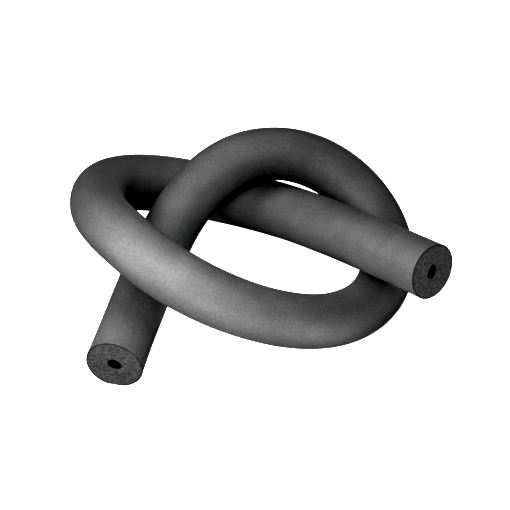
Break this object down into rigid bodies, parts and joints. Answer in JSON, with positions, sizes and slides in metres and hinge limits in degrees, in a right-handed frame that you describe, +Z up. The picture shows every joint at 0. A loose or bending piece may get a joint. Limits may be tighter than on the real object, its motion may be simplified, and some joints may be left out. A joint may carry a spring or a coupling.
{
  "type": "pipe insulation tube",
  "caption": "Closed-cell rubber foam pipe insulation tube with a small central bore and square-cut ends, tied in a loose overhand knot.",
  "frame": {"origin": "middle of the footprint, on the level floor that the knotted tube lies on", "axes": "+Z up; the first tail runs along Y and its cut end faces -Y; the second tail's cut end faces +X and a little -Y, and rises"},
  "size_m": [0.2434, 0.189, 0.0883],
  "materials": {
    "nitrile_foam": "matte to satin charcoal foam skin, with darker fine-celled cut faces"
  },
  "bodies": {
    "root": {"insulation_tube": "nitrile_foam"}
  },
  "joints": []
}
